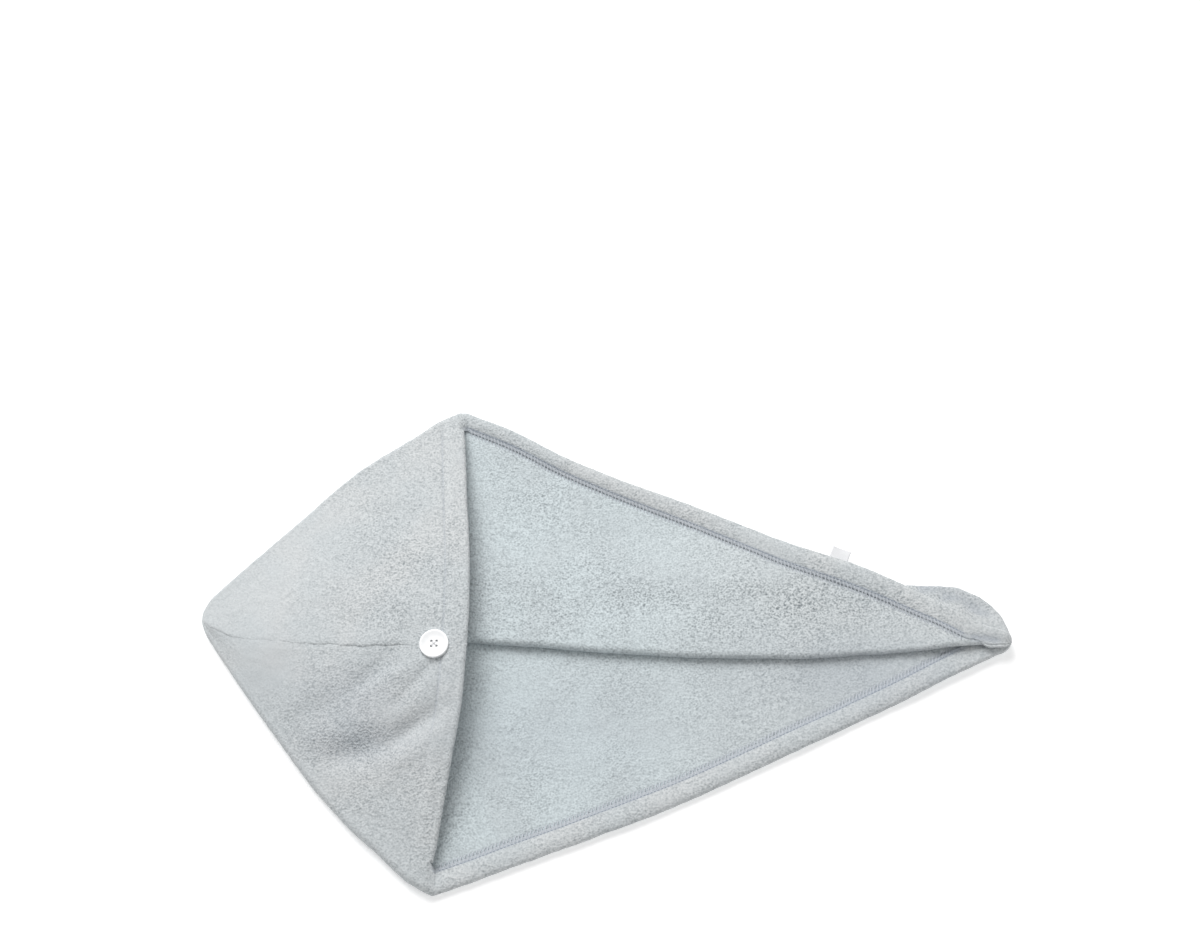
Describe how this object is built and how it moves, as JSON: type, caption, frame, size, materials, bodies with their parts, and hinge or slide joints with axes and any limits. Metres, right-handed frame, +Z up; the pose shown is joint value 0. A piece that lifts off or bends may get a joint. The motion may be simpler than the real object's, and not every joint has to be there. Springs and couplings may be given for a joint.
{
  "type": "hair turban towel",
  "caption": "Fleece hair-drying turban lying flat: a folded hood pocket with a button, and an open tapering tail with turned-in hems.",
  "frame": {"origin": "middle of the lying towel's outline, on the surface that it lies on", "axes": "+X from the hood's tip to the tail's tip, +Y to the far panel, +Z up"},
  "size_m": [0.6176, 0.3894, 0.0385],
  "materials": {
    "fleece": "light grey coral fleece with a short dense pile",
    "polyester_button": "white cast polyester, polished",
    "sewing_thread": "white spun polyester thread",
    "covered_elastic": "light grey braided elastic cord",
    "satin_ribbon": "white woven satin ribbon, bare"
  },
  "bodies": {
    "root": {"panel_near": "fleece", "panel_far": "fleece", "tail_hem_near": "fleece", "tail_hem_far": "fleece", "hood_hem": "fleece", "button": "polyester_button", "button_thread": "sewing_thread", "button_loop": "covered_elastic", "side_label": "satin_ribbon"}
  },
  "joints": []
}
